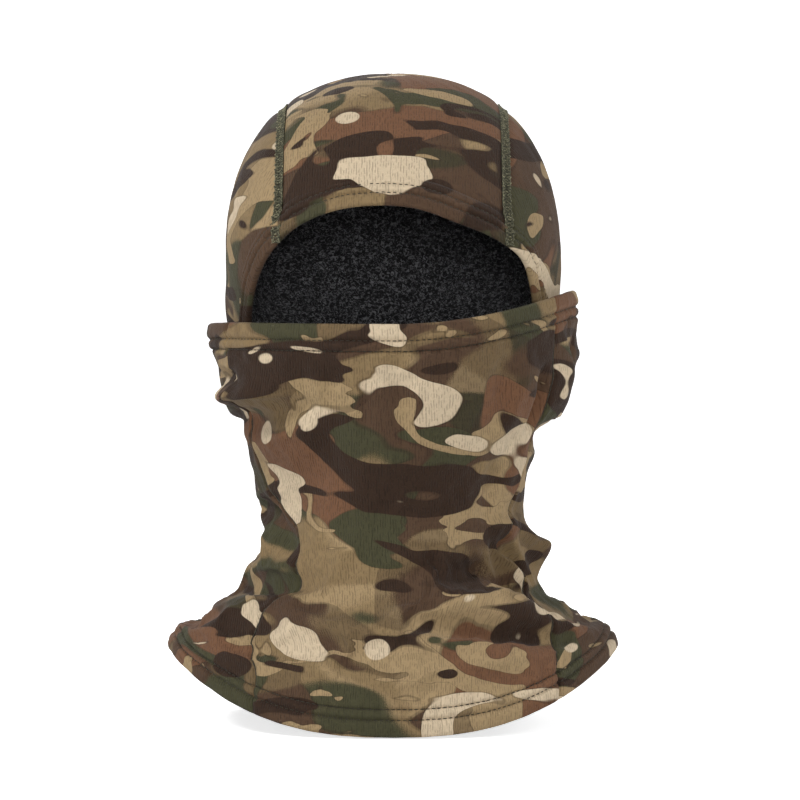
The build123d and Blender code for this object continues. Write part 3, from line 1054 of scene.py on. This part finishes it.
def press_table():
    """Inward move of the hood, by azimuth and height, in mm."""
    u = (np.arange(COLUMNS) / COLUMNS)[:, None]
    v = np.linspace(0, 1, ROWS)[None, :]
    point, normal, depth = lining_at(u, v)
    inside = point - normal * (depth + LINING_PILE + PILE_RELIEF)[..., None]
    azimuth = np.arctan2(inside[..., 0], -inside[..., 1])
    radius = np.hypot(inside[..., 0], inside[..., 1])
    bins = np.full((PRESS_COLUMNS, len(PRESS_Z)), 1e3)
    column = np.floor((azimuth / (2 * math.pi) % 1.0) * PRESS_COLUMNS).astype(int) % PRESS_COLUMNS
    row = np.round((inside[..., 2] - PRESS_Z[0]) / (PRESS_Z[1] - PRESS_Z[0])).astype(int)
    seen = (row >= 0) & (row < len(PRESS_Z))
    np.minimum.at(bins, (column[seen], row[seen]), radius[seen])
    for _ in range(2):
        bins = np.minimum(bins, np.minimum(np.roll(bins, 1, 0), np.roll(bins, -1, 0)))
        bins[:, 1:-1] = np.minimum(bins[:, 1:-1], np.minimum(bins[:, :-2], bins[:, 2:]))
    angle = 2 * math.pi * (np.arange(PRESS_COLUMNS) + 0.5)[:, None] / PRESS_COLUMNS + 0 * PRESS_Z
    hood = hood_point((angle + math.pi) % (2 * math.pi) - math.pi, PRESS_Z + 0 * angle)
    outside = np.hypot(hood[..., 0], hood[..., 1]) + HEM_STANDOFF + PRESS_GAP
    move = np.where(bins < 999, np.clip(outside - bins, 0, 16.0), 0)
    for _ in range(3):
        move = 0.5 * move + 0.25 * (np.roll(move, 1, 0) + np.roll(move, -1, 0))
        move[:, 1:-1] = 0.5 * move[:, 1:-1] + 0.25 * (move[:, :-2] + move[:, 2:])
    return move


press = press_table()


def pressed(point):
    """Points of the hood after the mask's folds have pressed them towards the neck's middle."""
    x, y, z = point[..., 0], point[..., 1], point[..., 2]
    column = (np.arctan2(x, -y) / (2 * math.pi) % 1.0) * PRESS_COLUMNS - 0.5
    row = np.clip((z - PRESS_Z[0]) / (PRESS_Z[1] - PRESS_Z[0]), 0, len(PRESS_Z) - 1.001)
    move = np.where(z < PRESS_Z[-1], between(press, column % PRESS_COLUMNS, row), 0)
    scale = 1 - move / (np.hypot(x, y) + TINY)
    return np.stack([x * scale, y * scale, z], -1)


MARGINS = np.linspace(-1.0, 22.0, 47)
ANGLES = 540
angle_knots = np.linspace(0, 2 * math.pi, ANGLES + 1)
fan = opening_point(angle_knots[:, None], MARGINS[None, :])
fan_steps = np.linalg.norm(np.diff(fan, axis=1), axis=-1)
fan_arc = np.concatenate([np.zeros((ANGLES + 1, 1)), np.cumsum(fan_steps, axis=1)], axis=1)
fan_arc -= np.array([np.interp(0.0, MARGINS, s) for s in fan_arc])[:, None]
FAN_REACH = 20.0
FAN_STEPS = 80
fan_distances = np.linspace(0, FAN_REACH, FAN_STEPS + 1)
fan_margins = np.array([np.interp(fan_distances, s, MARGINS) for s in fan_arc])


def margin_at(angle, distance):
    """Growth of the opening's outline that lies a distance along the cloth from its edge."""
    angle, distance = np.broadcast_arrays(angle, distance)
    row = (angle % (2 * math.pi)) / (2 * math.pi) * ANGLES
    return between(fan_margins, row, np.clip(distance / FAN_REACH, 0, 1) * FAN_STEPS)


def opening_top(x):
    """Height of the opening's upper edge at x."""
    angle = np.radians(np.linspace(-85, 85, 341))
    r = opening_reach(angle, 0.0)
    return float(np.interp(x, r * np.sin(angle), OPENING_Z + r * np.cos(angle)))


def opening_frame(angle, distance):
    """Point, outward normal and direction towards the opening, near the face opening's edge."""
    margin = margin_at(angle, distance)
    point = opening_point(angle, margin)
    d_angle = opening_point(angle + 0.004, margin_at(angle + 0.004, distance)) - opening_point(
        angle - 0.004, margin_at(angle - 0.004, distance))
    d_margin = opening_point(angle, margin + 0.4) - opening_point(angle, margin - 0.4)
    normal = unit(np.cross(d_margin, d_angle))
    normal = np.where(normal[..., 1:2] > 0, -normal, normal)
    return point, normal, -unit(d_margin)


def hood_print(x, y, z, side):
    """Print coordinates of the hood in mm: round the ear line on the crown, flat on the sides."""
    turn = np.arctan2(z - EAR_Z, -y)
    turn = np.where(turn < -1.9, turn + 2 * math.pi, turn)
    if side == "crown":
        return x + 2300.0, HOOD_RADIUS * turn + 900.0
    shift = 3420.0 if side == "left" else 4210.0
    return (y if side == "left" else -y) + shift, z + 250.0


def side_fullness(azimuth, z):
    """The hood's sides belly out where they go down behind the mask."""
    degrees = np.degrees(azimuth)
    right = 4.0 * np.exp(-(((degrees + 96) / 17) ** 2))
    left = 1.5 * np.exp(-(((degrees - 96) / 17) ** 2))
    return (right + left) * np.exp(-(((z - 222) / 17) ** 2))


def crown_groove(x):
    """The cloth dips along the crown seams and crowns between them."""
    off = np.abs(np.abs(x) - CROWN_HALF_WIDTH)
    return -0.9 * np.exp(-((off / 3.2) ** 2)) + 0.4 * np.exp(-(((off - 8) / 5) ** 2))


HOOD_COLUMNS = 330
HEM_SLANT = 0.69             # the crown seams meet the opening's edge at this slant
CUT_CAMO = 9                 # the hood's cloth ends under the hem, this far from the opening's edge
CUT_FLEECE = 7
cut_reach = [
    {d: float(opening_reach(a, margin_at(a, d))) for d in (CUT_CAMO, CUT_FLEECE)} for a in angle_knots
]


def ring_mesh(points):
    """A bmesh of a grid of points that closes round its columns, and its vertices in order."""
    mesh = bmesh.new()
    verts = [mesh.verts.new(p) for p in points.reshape(-1, 3)]
    for quad in grid_faces(*points.shape[:2], wrap=True):
        mesh.faces.new([verts[k] for k in quad])
    return mesh, verts


def in_opening(centre, cut_distance):
    """Whether a face is inside the face opening, or within a distance of its edge."""
    if centre.y >= 0:
        return False
    across, up = centre.x, centre.z - OPENING_Z
    turn = math.atan2(across, up) % (2 * math.pi) / (2 * math.pi)
    return math.hypot(across, up) < cut_reach[int(turn * ANGLES)][cut_distance]


def hood_shell(offset, relief, cut_distance):
    """The hood's surface sunk by offset, as a bmesh without the face opening."""
    low_z = np.linspace(NECK_Z, EAR_Z, 74)[:-1]
    high_z = EAR_Z + HOOD_RADIUS * np.sin(np.linspace(0, math.radians(89.2), 90))
    z = np.concatenate([low_z, high_z])[:, None]
    u = np.arange(HOOD_COLUMNS)[None, :] / HOOD_COLUMNS
    azimuth = 2 * math.pi * u - math.pi + 0 * z
    z = z + 0 * azimuth
    point = hood_point(azimuth, z)
    normal = grid_normals(point.transpose(1, 0, 2)).transpose(1, 0, 2)
    level = np.clip((point[..., 2] - NECK_Z) / (EAR_Z + HOOD_RADIUS - NECK_Z), 0, 1)
    slack = 0.9 * waves(u, level, 3, 2, 6, 8) * np.clip((1 - level) * 6, 0, 1)
    height = slack + crown_groove(point[..., 0]) - offset + relief(u, level) + side_fullness(azimuth, z)
    point = point + normal * height[..., None]
    mesh, verts = ring_mesh(point)
    top = mesh.verts.new((0, 0, point[-1, :, 2].mean() + 0.05))
    last = verts[-HOOD_COLUMNS:]
    for here, following in zip(last, last[1:] + last[:1]):
        mesh.faces.new((here, following, top))
    gone = [face for face in mesh.faces if in_opening(face.calc_center_median(), cut_distance)]
    bmesh.ops.delete(mesh, geom=gone, context="FACES")
    return mesh


HOOD_SIDES = ("crown", "left", "right")


def split_hood(mesh, names, material, thickness):
    """Cuts a hood bmesh along the crown seams into a crown, a left and a right piece."""
    for x in (-CROWN_HALF_WIDTH, CROWN_HALF_WIDTH):
        bmesh.ops.bisect_plane(
            mesh, geom=mesh.verts[:] + mesh.edges[:] + mesh.faces[:], dist=1e-4,
            plane_co=(x, 0, 0), plane_no=(1, 0, 0))
    made = []
    for name, side in zip(names, HOOD_SIDES):
        part = mesh.copy()
        wrong = [f for f in part.faces if side_of(f.calc_center_median().x) != side]
        bmesh.ops.delete(part, geom=wrong, context="FACES")
        layer = part.loops.layers.uv.new("cloth")
        for face in part.faces:
            face.smooth = True
            for loop in face.loops:
                uu, vv = hood_print(*loop.vert.co, side)
                loop[layer].uv = (float(uu) * MM, float(vv) * MM)
        places = pressed(np.array([vert.co for vert in part.verts])) * MM
        for vert, place in zip(part.verts, places):
            vert.co = place
        data = bpy.data.meshes.new(name)
        part.to_mesh(data)
        part.free()
        data.materials.append(material)
        made.append(thicken(link(name, data), thickness))
    mesh.free()
    return made


def side_of(x):
    if abs(x) < CROWN_HALF_WIDTH:
        return "crown"
    return "left" if x > 0 else "right"


def hood_gather(angle, distance):
    """Gathers of the face opening's hem, strongest between its stitch rows."""
    return pucker(angle / (2 * math.pi), 41) * 0.8 * bump_line(distance, 9, 6)


def hood_hem_grid():
    """The turned edge round the face opening, as one ring of points."""
    angle = np.linspace(0, 2 * math.pi, 421)[None, :-1]
    first, second = HOOD_ROWS
    outer = np.concatenate([
        np.linspace(HOOD_ROLL, first - 1, 7)[1:], first + np.linspace(-0.7, 0.7, 5),
        np.linspace(first + 1.2, second - 1.2, 5), second + np.linspace(-0.7, 0.7, 5),
        second + np.array([1.4, 2.4, 3.6, 5.0]),
    ])
    distance, beyond, lift, outside = turned_edge(outer, HOOD_HEM)
    point, normal, inward = opening_frame(angle, distance)
    height = lift + (hood_gather(angle, distance) + crown_groove(point[..., 0])) * outside
    return point + normal * height[..., None] + inward * beyond[..., None]


def hood_hems():
    """The turned edge, cut at the crown seams into brow and cheek hems."""
    mesh, _ = ring_mesh(hood_hem_grid())
    bmesh.ops.recalc_face_normals(mesh, faces=mesh.faces)
    lowest = min(mesh.verts, key=lambda v: v.co.y)
    if lowest.link_faces[0].normal.y > 0:
        bmesh.ops.reverse_faces(mesh, faces=mesh.faces)
    return split_hood(mesh, ("brow_turned_hem", "left_turned_hem", "right_turned_hem"), CAMO, 0.6)


FLATLOCK_HALF = 2.5          # half the width of a crown seam's stitching
FLATLOCK_PITCH = 3.6
FLATLOCK_CLEAR = 3.4         # the opening's stitches stop this far from a crown seam


def hood_stitching(name):
    """Two rows of stitches round the face opening, broken at the crown seams."""
    paths = []
    for row in HOOD_ROWS:
        angle_line = np.linspace(0, 2 * math.pi, 900)
        line, _, _ = opening_frame(angle_line, row)
        arc = arc_length(line)

        def surface(at, row=row, arc=arc, angle_line=angle_line):
            angle = np.interp(at, arc, angle_line)
            point, normal, _ = opening_frame(angle, row)
            height = hem_height(row, **HOOD_HEM) + crown_groove(point[..., 0]) + 0.15
            height = height + hood_gather(angle, row)
            return pressed(point + normal * height[..., None]), normal

        for path in stitch_row(surface, 0, arc[-1], radius=0.25):
            middle_x = path[0][2][0]
            if abs(abs(middle_x) - CROWN_HALF_WIDTH) > FLATLOCK_CLEAR:
                paths.append(path)
    return cord(name, paths, THREAD)


def crown_line(x):
    """The line of a crown seam on the hood, from the face opening over the top and down the back."""
    radius = float(dome_radius(np.array(x)))
    start = math.asin((opening_top(x) - EAR_Z) / radius)
    turn = np.linspace(start, math.pi, 500)
    over = np.stack([np.full(500, x), -radius * np.cos(turn), EAR_Z + radius * np.sin(turn)], -1)
    z = np.linspace(EAR_Z, NECK_Z + 4, 160)[1:]
    depth, middle = hood_depth(np.full(z.shape, x), z)
    down = np.stack([np.full(z.shape, x), middle + depth, z], -1)
    return np.concatenate([over, down])


def beside(point, step_x, steep_z):
    """The hood's point a step in x away, at the same height, or above steep_z at the same depth."""
    x, y, z = point[:, 0] + step_x, point[:, 1], point[:, 2]
    depth, middle = hood_depth(x, z)
    level_y = np.where(y < 0, middle - depth, middle + depth)
    over_z = EAR_Z + np.sqrt(np.clip(dome_radius(x) ** 2 - y ** 2, 0, None))
    steep = z > steep_z
    return np.stack([x, np.where(steep, y, level_y), np.where(steep, over_z, z)], -1)


def crown_seam(name, sign):
    """Flatlock stitching over a crown seam: a padded strip under crossing loops of thread."""
    x = sign * CROWN_HALF_WIDTH
    line = crown_line(x)
    arc = arc_length(line)
    steep_z = EAR_Z + 0.6 * float(dome_radius(np.array(x)))
    head_middle = np.array([0.0, 0.0, EAR_Z - 60.0])

    def at(s, lateral, lift):
        """Points beside the seam line: s along it, lateral across it, lift off the cloth."""
        point, after, before = (
            np.stack([np.interp(s + step, arc, coordinate) for coordinate in line.T], -1)
            for step in (0, 1.0, -1.0)
        )
        tangent = unit(after - before)
        across = unit(beside(point, 1.5, steep_z) - beside(point, -1.5, steep_z))
        across = unit(across - tangent * np.sum(across * tangent, -1, keepdims=True))
        normal = unit(np.cross(tangent, across))
        outwards = np.sum(normal * (point - head_middle), -1, keepdims=True)
        normal = np.where(outwards < 0, -normal, normal)
        lateral = np.broadcast_to(lateral, s.shape)
        on_hem = np.clip(hem_height(HEM_SLANT * s, **HOOD_HEM), 0, None) * (s < 30)
        height = crown_groove(point[:, 0] + lateral) + on_hem + lift
        return pressed(point + across * lateral[:, None] + normal * height[:, None]), normal

    half, end = FLATLOCK_HALF, arc[-1] - 0.4
    fine = np.arange(0.4, end, 0.8)
    bed = []
    for lateral in np.linspace(-half + 0.2, half - 0.2, 5):
        point, normal = at(fine, lateral, -0.35)
        bed.append((point, normal, np.full(len(fine), 0.50)))
    paths = []
    knots = np.arange(0.5, arc[-1] - 0.5, FLATLOCK_PITCH / 2)
    numbers = np.arange(len(knots))
    dense = np.arange(0, len(knots) - 1, 0.2)
    s = np.interp(dense, numbers, knots)
    for phase in (0, 1):
        lateral = np.interp(dense, numbers, half * np.where((numbers + phase) % 2 == 0, 1.0, -1.0))
        lift = 0.08 + 0.16 * phase + 0.12 * np.cos(lateral / half * math.pi / 2)
        point, normal = at(s, lateral, lift)
        paths.append((point, normal, np.full(len(s), 0.27)))
    s = np.arange(0.4, end, 0.4)
    loops = np.cos(4 * math.pi * s / FLATLOCK_PITCH)
    for edge in (-1, 1):
        weave = 0.30 * np.sin(2 * math.pi * s / FLATLOCK_PITCH + edge)
        point, normal = at(s, edge * half + weave, 0.10 + 0.18 * loops)
        paths.append((point, normal, 0.26 + 0.10 * loops))
    return [cord(name, paths, FLATLOCK), cord(name + "_bed", bed, FLATLOCK_BED)]


def neck_join(name):
    """Two crossing zigzags of thread that hold the hood's foot to the inside of the collar."""
    low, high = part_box("neck_seam")
    middle = (low[2] + high[2]) / 2 / MM
    swing = 0.4 * (high[2] - low[2]) / MM
    teeth = 120
    azimuth = np.linspace(0, 2 * math.pi, teeth * 8 + 1)
    paths = []
    for phase in (0, math.pi):
        z = middle + swing * np.sin(azimuth * teeth + phase)
        point = hood_point(azimuth, z)
        normal = unit(point * np.array([1.0, 1.0, 0.0]))
        paths.append((pressed(point + normal * 1.0), normal, np.full(len(z), 0.3)))
    return cord(name, paths, THREAD)


def finish(obj, body, slot, *nodes):
    """Puts a piece in place of its CAD nodes, parented to the collar's empty or else left where it is
    with its transform applied.
    """
    if body == "collar":
        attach(obj, body)
    else:
        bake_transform(obj)
    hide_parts(*nodes)


finish(tube_panel("front_panel", "front"), "mask", "camouflage_knit", "mask_panel", "bib_panel")
for side in ("left", "right"):
    finish(tube_panel(f"{side}_tube_panel", side), "mask", "camouflage_knit",
           f"{side}_cheek_panel", f"{side}_shoulder_panel")
    finish(tube_lining(f"{side}_tube_lining", side), "mask", "fleece",
           f"{side}_cheek_lining", f"{side}_shoulder_lining")
finish(tube_lining("front_lining", "front"), "mask", "fleece", "mask_lining", "bib_lining")
for name, body, edge, node in (
    ("mask_top", "mask", 1, "mask_band"), ("collar_bottom", "collar", 0, "collar_hem"),
):
    finish(tube_hem(f"{name}_hem", edge), body, "camouflage_knit", node)
    finish(tube_stitching(f"{name}_stitches", edge), body, "thread", f"{node}_stitching")
for name, where in (("right", RIGHT_SEAM_U), ("left", LEFT_SEAM_U), ("nape", 0.0)):
    finish(tube_seam(f"{name}_tube_seam", where, 0.01, 0.99), "mask", "thread",
           f"{name}_mask_seam", f"{name}_collar_seam")

hood_camo = split_hood(
    hood_shell(0.3, lambda u, v: 0.15 * waves(u, v, 8, 20, 40), CUT_CAMO),
    ("hood_crown", "hood_left_side", "hood_right_side"), CAMO, CLOTH_THICKNESS)
hood_fleece = split_hood(
    hood_shell(LINING_DEPTH + LINING_PILE, lambda u, v: -fleece_relief(u, v), CUT_FLEECE),
    ("hood_crown_fleece", "hood_left_fleece", "hood_right_fleece"), FLEECE, 0.8)
for pieces, slot, kind in ((hood_camo, "camouflage_knit", "panel"), (hood_fleece, "fleece", "lining")):
    crown, left, right = pieces
    finish(crown, "hood", slot, f"crown_{kind}", f"hood_neck_{kind}")
    finish(left, "hood", slot, f"left_side_{kind}")
    finish(right, "hood", slot, f"right_side_{kind}")

brow, left, right = hood_hems()
finish(brow, "hood", "camouflage_knit", "brow_hem", "throat_hem")
finish(left, "hood", "camouflage_knit", "left_cheek_hem")
finish(right, "hood", "camouflage_knit", "right_cheek_hem")
finish(hood_stitching("opening_stitches"), "hood", "thread", "brow_hem_stitching")
for name, sign in (("left", 1), ("right", -1)):
    for obj in crown_seam(f"{name}_crown_flatlock", sign):
        finish(obj, "hood", "flatlock_thread", f"{name}_crown_seam")
finish(neck_join("neck_join_stitches"), "collar", "thread", "neck_seam")


# ---------------------------------------------------------------- stage
FLOOR_Z = -0.001
BACKDROP_GLOW = 0.72         # the studio paper is lit to near white all round


def backdrop():
    """A round pale floor that curves up into a wall on every side."""
    flat, bend, top = 3.0, 1.2, 5.0
    profile = [(r, 0.0) for r in (0.6, 1.4, 2.2, flat)]
    for a in np.linspace(0.1, math.pi / 2, 12):
        profile.append((flat + bend * math.sin(a), bend - bend * math.cos(a)))
    profile.append((flat + bend, top))
    segments = 96
    points = [(0.0, 0.0, FLOOR_Z)]
    for r, z in profile:
        points += [(r * math.cos(t), r * math.sin(t), z + FLOOR_Z)
                   for t in np.linspace(0, 2 * math.pi, segments, endpoint=False)]
    faces = [(0, 1 + k, 1 + (k + 1) % segments) for k in range(segments)]
    faces += (grid_faces(len(profile), segments, wrap=True)[:, ::-1] + 1).tolist()
    mesh = bpy.data.meshes.new("backdrop")
    mesh.from_pydata(points, [], faces)
    for polygon in mesh.polygons:
        polygon.use_smooth = True
    g = Graph("pale_backdrop")
    seen = g.node("ShaderNodeLightPath").outputs["Is Camera Ray"]
    mesh.materials.append(g.surface({
        "Base Color": (0.92, 0.92, 0.92, 1.0), "Roughness": 0.95, "Specular IOR Level": 0.0,
        "Emission Color": (1.0, 1.0, 1.0, 1.0),
        "Emission Strength": g.math("MULTIPLY", seen, BACKDROP_GLOW),
    }))
    link("backdrop", mesh)


def area_light(name, location, target, size, power):
    data = bpy.data.lights.new(name, "AREA")
    data.shape = "DISK"
    data.size = size
    data.energy = power
    lamp = bpy.data.objects.new(name, data)
    lamp.location = location
    direction = np.array(target) - np.array(location)
    pitch = math.acos(-direction[2] / np.linalg.norm(direction))
    heading = math.atan2(direction[1], direction[0])
    lamp.rotation_euler = (pitch, 0, heading - math.pi / 2)
    bpy.context.scene.collection.objects.link(lamp)


backdrop()
area_light("key", (-1.7, -1.2, 2.2), (0, 0, 0.18), 0.7, 46)
area_light("front", (0.1, -2.7, 0.32), (0, 0, 0.20), 0.6, 20)
area_light("rim", (1.9, 0.2, 1.3), (0, 0, 0.18), 0.9, 15)
area_light("back", (-0.6, 2.4, 1.8), (0, 0, 0.18), 0.9, 22)

world = bpy.data.worlds.new("studio")
bpy.context.scene.world = world
world.use_nodes = True
background = world.node_tree.nodes["Background"]
background.inputs["Color"].default_value = (1, 1, 1, 1)
background.inputs["Strength"].default_value = 0.20

scene = bpy.context.scene
scene.view_settings.view_transform = "Standard"

camera_data = bpy.data.cameras.new("camera")
camera_data.sensor_width = 36
camera_data.lens = 131
camera = bpy.data.objects.new("camera", camera_data)
camera.location = (0.00385, -1.6, 0.174)
camera.rotation_euler = (math.pi / 2, 0, 0)
scene.collection.objects.link(camera)
scene.camera = camera
